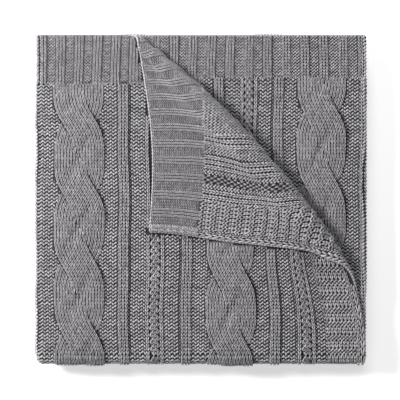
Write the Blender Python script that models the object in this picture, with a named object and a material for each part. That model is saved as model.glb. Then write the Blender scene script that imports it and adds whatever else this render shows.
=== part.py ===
"""A cable knit throw, folded in thirds across and in quarters along, with one top corner turned down.

The throw is one knitted piece, so it is one solid. Its flat plane has two coordinates: u runs across from the
selvedge that lies on top at the right, and s runs down the length from the top end band. fold_across lays u
into the three layers of a strip, fold_along lays the strip back and forth, and turn_corner rolls the top
layer's corner over. Metres, +Z up, the front fold towards -Y, origin under the middle of the folded throw.
"""

import math

import bmesh
import bpy
import numpy as np
from mathutils import Vector
from mathutils.geometry import delaunay_2d_cdt

MM = 0.001

# Cloth and folded size
THROW_WIDTH = 1296 * MM
CLOTH = 3.8 * MM
LAYER_GAP = 0.6 * MM
STRIP_GAP = 0.8 * MM
HALF_WIDE = 208 * MM
HALF_DEEP = 208 * MM
LOWER_FOLD_BACK = 3 * MM
LAST_END_BACK = 5 * MM

# Cables, as widths across the throw and steps down its length
REPEAT = 192 * MM
FIRST_CABLE = 168 * MM
CABLES = 6
CABLE_HALF = 32 * MM
CROSSING_STEP = 89 * MM
CROSSINGS = np.array([126, 109, 109, 109, 98, 98]) * MM

# A strand is a dome that swings about its cable's middle, steeper and wider where it crosses. In front it is
# lifted, behind its dome is a share of the full height. A valley runs between the two strands. The cable
# rises from a share of its height at the end band.
STRAND_SWING = 12.5 * MM
STEEPER = 0.5
STRAND_HALF = 18.8 * MM
SLANT_WIDENS = 0.14
STRAND_DOME = 4.2 * MM
STRAND_LIFT = 4.6 * MM
BEHIND = 0.45
VALLEY_DEPTH = 4 * MM
VALLEY_HALF = 6 * MM
VALLEY_SWING = 15 * MM
CABLE_START = 0.3
CABLE_RISE = 24 * MM

# Ribs, welted border and end band
RIB_FROM_CABLE = 57 * MM
RIB_HALF = 7 * MM
RIB_HEIGHT = 1.8 * MM
SEED_HALF = 12 * MM
SEED_HEIGHT = 1.4 * MM
SELVEDGE = 9 * MM
SELVEDGE_HEIGHT = 1.35 * MM
BORDER = 44 * MM
WELT_STEP = 17.4 * MM
WELT_HEIGHT = 0.9 * MM
BAND_RIB_HALF = 5.7 * MM
BAND_HEIGHT = 1.6 * MM
BACK_HEIGHT = 1.26 * MM
EDGE_SLOPE = 2.2 * MM

# The end band on each layer that shows: it is drawn in a little on the layer under the top one
BANDS = {
    # layer: (a rib's u, pitch, length of the band)
    "top": (360 * MM, 23.1 * MM, 61.5 * MM),
    "under": (932.9 * MM, 24.9 * MM, 53 * MM),
}

# Heights of the three layers in a strip, from its lowest face
LAYER_STEP = CLOTH + LAYER_GAP
BASE_AT = CLOTH / 2
UNDER_AT = BASE_AT + LAYER_STEP
TOP_AT = UNDER_AT + LAYER_STEP
STRIP = TOP_AT + CLOTH / 2
STRIP_STEP = STRIP + STRIP_GAP

# The fold across: the left fold joins top and base, the right fold joins base and the layer under the top
LEFT_RADIUS = (TOP_AT - BASE_AT) / 2
RIGHT_RADIUS = (UNDER_AT - BASE_AT) / 2
LEFT_X = -HALF_WIDE + LEFT_RADIUS + CLOTH / 2
RIGHT_X = HALF_WIDE - RIGHT_RADIUS - CLOTH / 2
TOP_EDGE_X = 205.4 * MM
U_TOP_END = TOP_EDGE_X - LEFT_X
U_BASE = U_TOP_END + math.pi * LEFT_RADIUS
FIFTH_CABLE = FIRST_CABLE + 4 * REPEAT
FIFTH_CABLE_X = 151.2 * MM
UNDER_EASE = 0.945
U_UNDER = FIFTH_CABLE - (RIGHT_X - FIFTH_CABLE_X)
U_BASE_END = U_UNDER - math.pi * RIGHT_RADIUS
BASE_EASE = (RIGHT_X - LEFT_X) / (U_BASE_END - U_BASE)

# The fold along: four strips and three folds
FRONT_FOLD_Y = -HALF_DEEP + STRIP + STRIP_GAP / 2
LOWER_FRONT_Y = FRONT_FOLD_Y + LOWER_FOLD_BACK
BACK_FOLD_Y = HALF_DEEP - STRIP - STRIP_GAP / 2
TOP_END_Y = HALF_DEEP
LAST_END_Y = HALF_DEEP - LAST_END_BACK
MIDDLE_RADIUS = (STRIP + STRIP_GAP) / 2
FOLD_ARC = math.pi * MIDDLE_RADIUS
S_FRONT = TOP_END_Y - FRONT_FOLD_Y
S_SECOND = S_FRONT + FOLD_ARC
S_BACK = S_SECOND + BACK_FOLD_Y - FRONT_FOLD_Y
S_THIRD = S_BACK + FOLD_ARC
S_LOWER_FRONT = S_THIRD + BACK_FOLD_Y - LOWER_FRONT_Y
S_FOURTH = S_LOWER_FRONT + FOLD_ARC
THROW_LENGTH = S_FOURTH + LAST_END_Y - LOWER_FRONT_Y

# The turned corner: a bowed fold line across the top layer, and the roll that the cloth makes along it
CORNER_START = (-79.4 * MM, 206 * MM)
CORNER_ANGLE = math.radians(-47.4)
CORNER_CHORD = 386 * MM
CORNER_BOW = 17.3 * MM
BOW_REACH = (-0.1, 1.15)
ROLL_RADIUS = 15 * MM
ROLL_OVERTURN = math.radians(50)
FLAP_REST = 6.6 * MM

# The roll is slimmer at its two ends, as shares of its radius and distances along it
ROLL_LEAST = 0.32
ROLL_GROWS = (-10 * MM, 150 * MM)
ROLL_TIP = 0.6
ROLL_SHRINKS = (280 * MM, 400 * MM)

# The turned corner's weight draws in the top layer at its tip: (u, draw) in mm, with its start and end
PULL = ((0, 15), (39, 22), (72, 10.5), (115, 5), (165, 0))
PULL_STARTS = (100 * MM, 240 * MM)
PULL_ENDS = (270 * MM, 385 * MM)

# Where the relief fades out, as distances beyond the corner's fold line or as shares of a fold's arc
ROLL_FADE = 20 * MM
CREST_FADE = (-8 * MM, 5 * MM)
COVER_FADE = (-10 * MM, -2 * MM)
FRONT_FADE = (-0.4, 0.4)
BEND_START = (0.1, 0.4)
BEND_END = (0.6, 0.9)
SIDE_FADE = (-0.2, 0.6)
UNDER_FLAP_SHARE = 0.24
FOLD_SHARE = 0.4

# Fineness of the solid
FOLD_FACETS = 8
SIDE_FACETS = 6
ROLL_FACETS = 11
SETTLE_FACETS = 5
CABLE_GRID = 7.6 * MM
RIB_RUN = 42 * MM
ALONG_ROLL = 14.5 * MM
ROLL_RUN_OUT = 90 * MM
CABLE_FOOT = 2 * MM
BAND_GRID = 8 * MM
BAND_FOOT = 1 * MM
GUARD_INSIDE = 9 * MM
FLAP_REACH = (226 * MM, 200 * MM)
COVERED = 0.9
UNDER_FROM = -14 * MM
FLAP_FROM = -12 * MM
UNDER_SEEN = 0.8
SHARP = math.radians(50)
EDGE_NEAR = 0.004 * MM
PULL_ROUNDS = 12


def smooth(x, low, high):
    """0 below low, 1 above high, with a soft rise between."""
    t = np.clip((x - low) / (high - low), 0, 1)
    return t * t * (3 - 2 * t)


def plateau(distance, half, slope):
    """1 within half of a line and 0 beyond it, with sloping sides."""
    return 1 - smooth(np.abs(distance), half - slope / 2, half + slope / 2)


# Relief of the knit


def nearest(u, first, step):
    """Distance of u from the nearest of a row of evenly spaced lines."""
    return (u - first + step / 2) % step - step / 2


def rope(u, s):
    """Height of the cables: each is two domed strands that wind round each other, with a valley between."""
    across = nearest(u, FIRST_CABLE, REPEAT)
    cable = np.clip(np.rint((u - FIRST_CABLE) / REPEAT).astype(int), 0, CABLES - 1)
    crossings = (s - CROSSINGS[cable]) / CROSSING_STEP
    height = np.zeros_like(across)
    for strand in (0, 1):
        turn = math.pi * (crossings + 0.5 + strand)
        side = np.cos(turn)
        swing = STRAND_SWING * ((1 - STEEPER) * side + STEEPER * np.sin(math.pi / 2 * side))
        offset = (across - swing) / (STRAND_HALF * (1 + SLANT_WIDENS * (1 - side**2)))
        front = (1 + np.sin(turn)) / 2
        dome = STRAND_DOME * (BEHIND + (1 - BEHIND) * front) * np.sqrt(np.clip(1 - offset**2, 0, 1))
        lift = STRAND_LIFT * front * smooth(dome, 0, 1 * MM)
        height = np.maximum(height, np.where(dome > 0, dome + lift, 0))
    eye = math.pi * (crossings % 1)
    between = (across + VALLEY_SWING * np.cos(eye)) / VALLEY_HALF
    height = np.maximum(0, height - VALLEY_DEPTH * np.sin(eye) * np.exp(-(between**2)))
    from_band = np.minimum(s, THROW_LENGTH - s) - band_lines(u)[1]
    return height * (CABLE_START + (1 - CABLE_START) * smooth(from_band, 0, CABLE_RISE))


def body_relief(u, s):
    """Height of the right side of the knit below the end band."""
    from_cable = nearest(u, FIRST_CABLE, REPEAT)
    side = np.minimum(u, THROW_WIDTH - u)
    height = rope(u, s)
    height += RIB_HEIGHT * plateau(np.abs(from_cable) - RIB_FROM_CABLE, RIB_HALF, EDGE_SLOPE)
    height += SEED_HEIGHT * plateau(np.abs(from_cable) - REPEAT / 2, SEED_HALF, EDGE_SLOPE)
    welts = WELT_HEIGHT * (1 + np.cos(2 * math.pi * s / WELT_STEP)) / 2
    height = np.where(side < BORDER, welts, height)
    return np.where(side < SELVEDGE, SELVEDGE_HEIGHT, height)


def band_lines(u):
    """(distance of u from the nearest rib of the end band, the band's length there)."""
    top, under = ((nearest(u, first, pitch), length) for first, pitch, length in BANDS.values())
    below = u > (U_BASE + U_BASE_END) / 2
    return np.where(below, under[0], top[0]), np.where(below, under[1], top[1])


def relief(u, s):
    """Height of the right side of the knit above its ground."""
    end = np.minimum(s, THROW_LENGTH - s)
    from_rib, length = band_lines(u)
    band = BAND_HEIGHT * plateau(from_rib, BAND_RIB_HALF, EDGE_SLOPE)
    return np.where(end < length, band, body_relief(u, s))


def back_relief(u, s):
    """Height of the wrong side, where the ribs are hollow and the purl panels stand up."""
    from_rib, length = band_lines(u)
    band = BAND_HEIGHT * (1 - plateau(from_rib, BAND_RIB_HALF, EDGE_SLOPE))
    from_cable = nearest(u, FIRST_CABLE, REPEAT)
    ribs = plateau(np.abs(from_cable) - RIB_FROM_CABLE, RIB_HALF, EDGE_SLOPE)
    body = BACK_HEIGHT * (1 - ribs)
    welts = WELT_HEIGHT * (1 - np.cos(2 * math.pi * s / WELT_STEP))
    body = np.where(u < BORDER, welts, body)
    return np.where(s < length, band, body)


# Shape of the folds


def fold_across(u):
    """Where u lies in a strip: (x, height in the strip, right side's normal x, normal height)."""
    left = (u - U_TOP_END) / LEFT_RADIUS + math.pi / 2
    right = (u - U_BASE_END) / RIGHT_RADIUS - math.pi / 2
    regions = [u < U_TOP_END, u < U_BASE, u < U_BASE_END, u < U_UNDER, u < FIFTH_CABLE]
    flat = np.zeros_like(u)
    past = u - FIFTH_CABLE
    x = np.select(
        regions,
        [
            TOP_EDGE_X - u,
            LEFT_X + LEFT_RADIUS * np.cos(left),
            LEFT_X + (u - U_BASE) * BASE_EASE,
            RIGHT_X + RIGHT_RADIUS * np.cos(right),
            RIGHT_X - (u - U_UNDER),
        ],
        FIFTH_CABLE_X - past * UNDER_EASE,
    )
    left_mid = (TOP_AT + BASE_AT) / 2
    right_mid = (UNDER_AT + BASE_AT) / 2
    height = np.select(
        regions,
        [
            flat + TOP_AT,
            left_mid + LEFT_RADIUS * np.sin(left),
            flat + BASE_AT,
            right_mid + RIGHT_RADIUS * np.sin(right),
            flat + UNDER_AT,
        ],
        flat + UNDER_AT,
    )
    normal_x = np.select(regions[:4], [flat, np.cos(left), flat, np.cos(right)], flat)
    normal_h = np.select(regions[:4], [flat + 1, np.sin(left), flat - 1, np.sin(right)], flat + 1)
    return x, height, normal_x, normal_h


def fold_along(s, height):
    """Where a point at this height in the strip lies: (y, z)."""
    starts = [S_FRONT, S_SECOND, S_BACK, S_THIRD, S_LOWER_FRONT, S_FOURTH]
    regions = [s < start for start in starts]
    inner = STRIP_GAP / 2
    first, second, third = 3 * STRIP_STEP, 2 * STRIP_STEP, STRIP_STEP
    front = (s - S_FRONT) / MIDDLE_RADIUS
    back = (s - S_BACK) / MIDDLE_RADIUS
    lower = (s - S_LOWER_FRONT) / MIDDLE_RADIUS
    out, turned = height + inner, STRIP - height + inner
    y = np.select(
        regions,
        [
            TOP_END_Y - s,
            FRONT_FOLD_Y - out * np.sin(front),
            FRONT_FOLD_Y + (s - S_SECOND),
            BACK_FOLD_Y + turned * np.sin(back),
            BACK_FOLD_Y - (s - S_THIRD),
            LOWER_FRONT_Y - out * np.sin(lower),
        ],
        LOWER_FRONT_Y + (s - S_FOURTH),
    )
    z = np.select(
        regions,
        [
            first + height,
            first - inner + out * np.cos(front),
            second + STRIP - height,
            second - inner + turned * np.cos(back),
            third + height,
            third - inner + out * np.cos(lower),
        ],
        STRIP - height,
    )
    return y, z


def bow(along):
    """How far the corner's fold line swings out from its chord."""
    t = np.clip(along / CORNER_CHORD, *BOW_REACH)
    return 4 * CORNER_BOW * t * (1 - t)


def corner_frame(x, y):
    """(distance along the corner's fold line, distance beyond its bow)."""
    dx, dy = x - CORNER_START[0], y - CORNER_START[1]
    c, sn = math.cos(CORNER_ANGLE), math.sin(CORNER_ANGLE)
    along = dx * c + dy * sn
    return along, -dx * sn + dy * c - bow(along)


def corner_place(along, beyond):
    """The (x, y) that corner_frame gives back."""
    c, sn = math.cos(CORNER_ANGLE), math.sin(CORNER_ANGLE)
    across = beyond + bow(along)
    return CORNER_START[0] + along * c - across * sn, CORNER_START[1] + along * sn + across * c


def pull(u, s):
    """How far the top layer's rows are drawn in by the turned corner."""
    at, size = np.array(PULL).T * MM
    return np.interp(u, at, size) * smooth(s, *PULL_STARTS) * (1 - smooth(s, *PULL_ENDS))


def unpull(reach, s):
    """The u that lies this far in from the top layer's undrawn edge."""
    u = reach
    for _ in range(PULL_ROUNDS):
        u = reach - pull(u, s)
    return u


def top_frame(u, s):
    """The corner's frame for a point of the top layer: (distance along, distance beyond, x, y)."""
    x, y = TOP_EDGE_X - u - pull(u, s), TOP_END_Y - s
    return *corner_frame(x, y), x, y


def roll_sizes(along):
    """The roll at a place along it: (where it starts, radius, arc, settling radius, settling arc)."""
    grow = ROLL_LEAST + (1 - ROLL_LEAST) * smooth(along, *ROLL_GROWS)
    radius = ROLL_RADIUS * grow * (1 - (1 - ROLL_TIP) * smooth(along, *ROLL_SHRINKS))
    top = radius * (1 + math.cos(ROLL_OVERTURN))
    settle = (top - FLAP_REST) / (1 - math.cos(ROLL_OVERTURN))
    return -(radius + CLOTH / 2), radius, radius * (math.pi + ROLL_OVERTURN), settle, settle * ROLL_OVERTURN


def roll_uses(along):
    """How much further the turned corner reaches than a sharp fold's would."""
    start, radius, arc, settle, settle_arc = roll_sizes(along)
    return arc + settle_arc + 2 * start - (radius + settle) * math.sin(ROLL_OVERTURN)


def roll_profile(along, beyond):
    """The turned corner's section: (distance beyond the fold line, rise, tangent's angle)."""
    start, radius, arc, settle_radius, settle_arc = roll_sizes(along)
    s = beyond - start
    turn = np.clip(s, 0, arc) / radius
    settle = np.clip(s - arc, 0, settle_arc) / settle_radius
    rest = np.clip(s - arc - settle_arc, 0, None)
    most = math.pi + ROLL_OVERTURN
    settled = settle > 0
    out = radius * np.sin(turn) + settle_radius * (math.sin(most) - np.sin(most - settle)) * settled
    rise = radius * (1 - np.cos(turn))
    rise = rise + settle_radius * (np.cos(most - settle) - math.cos(most)) * settled
    return np.where(s < 0, beyond, start + out - rest), rise, turn - settle


def under_flap(x, y):
    """1 where the turned corner lies on the top layer, 0 where the layer shows."""
    along, beyond = corner_frame(x, y)
    flat_x, flat_y = corner_place(along, roll_uses(along) - beyond)
    inside = np.minimum(TOP_EDGE_X - flat_x - pull(0, TOP_END_Y - flat_y), TOP_END_Y - flat_y)
    return smooth(inside, *COVER_FADE)


def outside(s, fold_start):
    """The share of the relief on the outside of a fold along."""
    bend = (s - fold_start) / FOLD_ARC
    return FOLD_SHARE * smooth(bend, *BEND_START) * (1 - smooth(bend, *BEND_END))


def shown(u, s, normal_h, from_start, beyond, turned, covered):
    """The share of the relief on the right side: 1 where it shows, 0 where it is pressed between layers."""
    front_bend = (s - S_FRONT) / FOLD_ARC
    on_top = 1 - (1 - FOLD_SHARE) * smooth(front_bend, *FRONT_FADE)
    on_top = on_top * (1 - smooth(front_bend, *BEND_END)) * (1 - (1 - UNDER_FLAP_SHARE) * covered)
    return np.select(
        [
            turned,
            u < U_TOP_END,
            u < U_BASE,
            u < U_BASE_END,
            u < U_UNDER,
        ],
        [
            on_top * (1 - smooth(from_start, 0, ROLL_FADE)),
            np.maximum(on_top, outside(s, S_LOWER_FRONT)),
            smooth(normal_h, *SIDE_FADE) * (s < S_FRONT),
            outside(s, S_BACK),
            0 * u,
        ],
        smooth(beyond, *CREST_FADE) * (s < S_FRONT),
    )


def turn_corner(along, beyond, offset):
    """The turned corner's point at this offset from the middle of the cloth: (x, y, z)."""
    out, rise, angle = roll_profile(along, beyond)
    x, y = corner_place(along, out - offset * np.sin(angle))
    return x, y, 3 * STRIP_STEP + TOP_AT + rise + offset * np.cos(angle)


def cloth(u, s, side):
    """The point of the right side (side 1) or of the wrong side (side -1) at u and s."""
    x, height, normal_x, normal_h = fold_across(u + pull(u, s))
    flat_y = TOP_END_Y - s
    along, beyond = corner_frame(x, flat_y)
    from_start = beyond - roll_sizes(along)[0]
    turned = (u < U_TOP_END) & (s < S_FRONT) & (from_start > 0)

    share = shown(u, s, normal_h, from_start, beyond, turned, under_flap(x, flat_y))
    raised = np.where(side > 0, relief(u, s) * share, 0)
    hollow = np.where(turned & (side < 0), back_relief(u, s) * smooth(beyond, *CREST_FADE), 0)
    offset = side * (CLOTH / 2) + raised - hollow

    y, z = fold_along(s, height + offset * normal_h)
    flat = np.stack([x + offset * normal_x, y, z], axis=-1)
    over = np.stack(turn_corner(along, beyond, offset), axis=-1)
    return np.where(turned[..., None], over, flat)


# The net of lines that the solid's faces follow, drawn on the flat throw


class Net:
    """Points and lines on the flat throw, with points at the same place made one."""

    def __init__(self):
        self.points = []
        self.index = {}
        self.lines = set()

    def point(self, u, s):
        key = (round(float(u), 5), round(float(s), 5))
        if key not in self.index:
            self.index[key] = len(self.points)
            self.points.append(key)
        return self.index[key]

    def line(self, us, ss, keep=None):
        """A line through these points; where keep is given, only its stretches inside that region."""
        us, ss = np.broadcast_arrays(np.asarray(us, float), np.asarray(ss, float))
        kept = np.ones(len(us), bool) if keep is None else keep(us, ss)
        for i in range(len(us) - 1):
            if kept[i] and kept[i + 1]:
                ends = self.point(us[i], ss[i]), self.point(us[i + 1], ss[i + 1])
                if ends[0] != ends[1]:
                    self.lines.add(ends)

    def triangles(self):
        """(the points, with those where lines cross, and the triangles between them)."""
        points = [Vector(p) for p in self.points]
        found = delaunay_2d_cdt(points, list(self.lines), [], 0, 1e-6, False)
        return np.array([tuple(p) for p in found[0]]), [tuple(f) for f in found[2]]


def run(start, end, step):
    """Evenly spaced values from start to end, about step apart."""
    return np.linspace(start, end, max(2, round(abs(end - start) / step) + 1))


def top_shows(u, s):
    """Where the top layer's right side is seen from above."""
    along, beyond, x, y = top_frame(u, s)
    return (beyond < roll_sizes(along)[0]) & (under_flap(x, y) < COVERED)


def under_shows(u, s):
    """Where the layer under the top one is seen past the turned corner."""
    x = fold_across(u)[0]
    return corner_frame(x, TOP_END_Y - s)[1] > UNDER_FROM


def flap_shows(u, s):
    """Where the wrong side is seen, on the roll and on the turned corner."""
    return top_frame(u, s)[1] > FLAP_FROM


def draw_folds(net):
    """The edges of the throw and the lines that its folds bend along."""
    for u in (0, THROW_WIDTH):
        net.line(u, [0, THROW_LENGTH])
    for s in (0, THROW_LENGTH):
        net.line([0, THROW_WIDTH], s)
    for start in (S_FRONT, S_BACK, S_LOWER_FRONT):
        for s in np.linspace(start, start + FOLD_ARC, FOLD_FACETS + 1):
            net.line([0, THROW_WIDTH], s)
    for start, end in ((U_TOP_END, U_BASE), (U_BASE_END, U_UNDER)):
        for u in np.linspace(start, end, SIDE_FACETS + 1):
            net.line(u, run(0, THROW_LENGTH, RIB_RUN * 2))
    for s in (S_FRONT / 2, (S_SECOND + S_BACK) / 2, (S_THIRD + S_LOWER_FRONT) / 2):
        net.line([0, THROW_WIDTH], s)


def draw_roll(net):
    """Lines along the turned corner's roll, bowed as its fold is."""
    along = run(-ROLL_RUN_OUT, CORNER_CHORD + ROLL_RUN_OUT, ALONG_ROLL)
    start, _, arc, _, settle_arc = roll_sizes(along)
    turning = [start + share * arc for share in np.linspace(0, 1, ROLL_FACETS + 1)]
    settling = [start + arc + share * settle_arc for share in np.linspace(0, 1, SETTLE_FACETS + 1)[1:]]
    for beyond in turning + settling:
        x, y = corner_place(along, beyond)
        u, s = unpull(TOP_EDGE_X - x, TOP_END_Y - y), TOP_END_Y - y
        inside = (u > 0) & (u < U_TOP_END) & (s > 0) & (s < S_FRONT)
        net.line(*clip_ends(u, s, inside))


def draw_guards(net):
    """Lines round what the turned corner covers, where the relief under it has ended."""
    x, y = corner_place(run(-ROLL_RUN_OUT, CORNER_CHORD + ROLL_RUN_OUT, 2 * ALONG_ROLL), -GUARD_INSIDE)
    u = FIFTH_CABLE + (FIFTH_CABLE_X - x) / UNDER_EASE
    u = np.where(x > FIFTH_CABLE_X, FIFTH_CABLE + FIFTH_CABLE_X - x, u)
    inside = (y < TOP_END_Y) & (u > U_UNDER)
    net.line(*clip_ends(u, TOP_END_Y - y, inside))

    end_x = TOP_EDGE_X - run(0, FLAP_REACH[0], 2 * ALONG_ROLL)
    side_y = TOP_END_Y - run(0, FLAP_REACH[1], 2 * ALONG_ROLL)
    side_x = TOP_EDGE_X - pull(0 * side_y, TOP_END_Y - side_y)
    for x, y in ((end_x, np.full_like(end_x, TOP_END_Y)), (side_x, side_y)):
        along, beyond = corner_frame(x, y)
        x, y = corner_place(along, roll_uses(along) - beyond)
        net.line(unpull(TOP_EDGE_X - x, TOP_END_Y - y), TOP_END_Y - y)


def clip_ends(u, s, inside):
    """The stretch inside the top layer, run on to the edge that it crosses at each end."""
    first, last = np.flatnonzero(inside)[[0, -1]]
    us, ss = list(u[first : last + 1]), list(s[first : last + 1])
    for at, step in ((first, -1), (last, 1)):
        du, ds = u[at + step] - u[at], s[at + step] - s[at]
        limits = []
        if u[at] + du < 0:
            limits.append(-u[at] / du)
        if s[at] + ds < 0:
            limits.append(-s[at] / ds)
        if not limits:
            continue
        end = (max(0.0, u[at] + min(limits) * du), max(0.0, s[at] + min(limits) * ds))
        if step < 0:
            us.insert(0, end[0])
            ss.insert(0, end[1])
        else:
            us.append(end[0])
            ss.append(end[1])
    return us, ss


def ridge_edges(middle, half):
    """The four lines that shape a raised rib."""
    slope = EDGE_SLOPE / 2
    return [middle + way * (half + side * slope) for way in (-1, 1) for side in (1, -1)]


def draw_ridge(net, middle, half, start, end, shows, low=0, high=THROW_WIDTH):
    for u in ridge_edges(middle, half):
        if low < u < high:
            net.line(u, run(start, end, RIB_RUN), shows)


def draw_cable(net, middle, start, end, shows):
    """A grid over a cable, fine enough for its strands."""
    foot = CABLE_HALF + CABLE_FOOT
    us = np.concatenate([[-foot], run(-CABLE_HALF, CABLE_HALF, CABLE_GRID), [foot]])
    ss = run(start, end, CABLE_GRID)
    for u in middle + us:
        net.line(u, ss, shows)
    for s in ss:
        net.line(middle + us, s, shows)


def draw_body(net, layer, low, high, end, shows):
    """The knit below the end band on one layer: its cables, ribs, seed ribs and border."""
    start = BANDS[layer][2] + EDGE_SLOPE
    for k in range(CABLES):
        middle = FIRST_CABLE + k * REPEAT
        if low < middle < high:
            draw_cable(net, middle, start, end, shows)
        for way in (-1, 1):
            draw_ridge(net, middle + way * RIB_FROM_CABLE, RIB_HALF, start, end, shows, low, high)
        draw_ridge(net, middle - REPEAT / 2, SEED_HALF, start, end, shows, low, high)


def draw_band(net, layer, low, high, shows):
    """The end band's ribs on one layer."""
    first, pitch, length = BANDS[layer]
    for k in range(math.ceil((low - first) / pitch) - 1, math.floor((high - first) / pitch) + 2):
        for u in ridge_edges(first + k * pitch, BAND_RIB_HALF):
            if low < u < high:
                net.line(u, [0, length / 3, 2 * length / 3, length - BAND_FOOT], shows)
    for s in (length - BAND_FOOT, length + EDGE_SLOPE):
        net.line(run(low, high, BAND_GRID), s, shows)


def right_side():
    """The lines of the right side."""
    net = Net()
    draw_folds(net)
    draw_roll(net)
    draw_guards(net)
    draw_body(net, "top", SELVEDGE, U_TOP_END, S_SECOND, top_shows)
    draw_band(net, "top", 0, U_TOP_END, top_shows)
    for u in (SELVEDGE, BORDER):
        net.line(u, run(BANDS["top"][2], S_SECOND, WELT_STEP), top_shows)
    for s in np.arange(WELT_STEP / 2, S_FRONT, WELT_STEP / 2):
        net.line([0, SELVEDGE, BORDER], s, top_shows)
    draw_body(net, "under", U_UNDER, THROW_WIDTH, UNDER_SEEN * S_FRONT, under_shows)
    draw_band(net, "under", U_UNDER, THROW_WIDTH, under_shows)
    for middle in (FIRST_CABLE, FIRST_CABLE + REPEAT):
        for half in (-2, -1, 0, 1, 2):
            net.line(middle + half * CABLE_HALF / 2, [S_LOWER_FRONT, S_FOURTH])
    return net


def wrong_side():
    """The lines of the wrong side, which shows on the turned corner alone."""
    net = Net()
    draw_folds(net)
    draw_roll(net)
    draw_band(net, "top", 0, U_TOP_END, flap_shows)
    for u in (SELVEDGE, BORDER):
        net.line(u, run(0, S_FRONT, WELT_STEP), flap_shows)
    for s in np.arange(WELT_STEP / 2, S_FRONT, WELT_STEP / 2):
        net.line([0, SELVEDGE, BORDER], s, flap_shows)
    length = BANDS["top"][2]
    for way in (-1, 1):
        draw_ridge(net, FIRST_CABLE + way * RIB_FROM_CABLE, RIB_HALF, length, S_FRONT, flap_shows)
    draw_ridge(net, FIRST_CABLE - REPEAT / 2, SEED_HALF, length, S_FRONT, flap_shows)
    return net


def rim(points):
    """The points on the throw's four edges, in order along each."""
    edges = []
    for axis, value in ((1, 0), (0, THROW_WIDTH), (1, THROW_LENGTH), (0, 0)):
        on = np.flatnonzero(np.abs(points[:, axis] - value) < EDGE_NEAR)
        on = on[np.argsort(points[on, 1 - axis])]
        edges.append(on if len(edges) < 2 else on[::-1])
    return edges


def match_edges(nets):
    """Gives both sides the same points along the throw's edges, and triangulates them."""
    found = [net.triangles()[0] for net in nets]
    for points in found:
        for u, s in np.concatenate([points[edge] for edge in rim(points)]):
            for net in nets:
                net.point(u, s)
    return [net.triangles() for net in nets]


def build_throw():
    """The throw as one closed solid: right side, wrong side and the edges between them."""
    right, wrong = match_edges([right_side(), wrong_side()])
    right_points, right_faces = right
    wrong_points, wrong_faces = wrong
    count = len(right_points)
    places = np.concatenate([cloth(*right_points.T, 1.0), cloth(*wrong_points.T, -1.0)])
    faces = right_faces + [tuple(count + i for i in face[::-1]) for face in wrong_faces]
    for upper, lower in zip(rim(right_points), rim(wrong_points)):
        lower = lower + count
        for i in range(len(upper) - 1):
            faces.append((upper[i], lower[i], lower[i + 1], upper[i + 1]))
    low, high = places.min(0), places.max(0)
    places -= [(low[0] + high[0]) / 2, (low[1] + high[1]) / 2, low[2]]

    mesh = bpy.data.meshes.new("throw")
    shape = bmesh.new()
    points = [shape.verts.new(p) for p in places]
    for face in faces:
        shape.faces.new([points[int(i)] for i in face])
    bmesh.ops.triangulate(shape, faces=shape.faces[:])
    bmesh.ops.recalc_face_normals(shape, faces=shape.faces[:])
    if shape.calc_volume(signed=True) < 0:
        bmesh.ops.reverse_faces(shape, faces=shape.faces[:])
    print("throw:", len(shape.faces), "triangles, centring", (low + high) / 2, "lowest", low[2])
    shape.to_mesh(mesh)
    shape.free()
    mesh.shade_smooth()
    mesh.set_sharp_from_angle(angle=SHARP)
    return mesh


def yarn():
    material = bpy.data.materials.new("yarn")
    material.use_nodes = True
    shader = material.node_tree.nodes["Principled BSDF"]
    shader.inputs["Base Color"].default_value = (0.27, 0.26, 0.275, 1)
    shader.inputs["Roughness"].default_value = 0.95
    shader.inputs["Metallic"].default_value = 0
    return material


def main():
    for item in list(bpy.data.objects):
        bpy.data.objects.remove(item, do_unlink=True)
    throw = bpy.data.objects.new("throw", build_throw())
    throw.data.materials.append(yarn())
    bpy.context.scene.collection.objects.link(throw)


main()
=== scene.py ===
# %% [markdown]
# # A cable knit throw, folded, with one corner turned down
#
# A throw like this is knitted in one piece: rope cables and ribs stand up from purl panels, a ribbed band
# finishes the end, and welted borders and chained selvedges finish the sides. It is folded in thirds across
# and in quarters along, and its top corner is turned down so that the knit's wrong side shows.
#
# We could sculpt the folds and paint stitches on them. But a knit is read by its yarn: each stitch catches
# the light and leaves a dark hole. So we make one function that lays any point of the flat throw on its
# folds, then knit on the flat throw, where every column and row is straight, and let that function fold the
# stitches.

import math

import bpy
import numpy as np
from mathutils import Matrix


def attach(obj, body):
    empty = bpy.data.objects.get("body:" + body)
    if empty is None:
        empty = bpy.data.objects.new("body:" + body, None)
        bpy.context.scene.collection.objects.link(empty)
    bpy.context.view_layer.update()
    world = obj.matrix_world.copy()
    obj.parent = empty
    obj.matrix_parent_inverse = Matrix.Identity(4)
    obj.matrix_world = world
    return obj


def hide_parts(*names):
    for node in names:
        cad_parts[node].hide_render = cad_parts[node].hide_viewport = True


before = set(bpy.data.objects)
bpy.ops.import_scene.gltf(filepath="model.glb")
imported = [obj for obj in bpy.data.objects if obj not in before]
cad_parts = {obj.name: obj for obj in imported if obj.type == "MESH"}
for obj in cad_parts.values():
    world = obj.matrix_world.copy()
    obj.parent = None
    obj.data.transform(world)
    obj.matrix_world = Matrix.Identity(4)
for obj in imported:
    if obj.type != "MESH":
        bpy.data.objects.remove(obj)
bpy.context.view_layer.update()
MM = 0.001

# %% [markdown]
# ## The folds
#
# The flat throw has two coordinates, as a knitter would chart it: u runs across from the selvedge that ends
# up on top at the right, and s runs down the length from the top end. Folding in thirds bends u round two
# folds, at the left and at the right. Folding in quarters bends s round three more, at the front, the back
# and the front again. A cloth simulation could fold it, but it would take long and lose the straight rows.
# Each fold is an arc, so plain sines and cosines give it. The layers that lie hidden are drawn in a little,
# so that every cable comes out where it shows.

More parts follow.
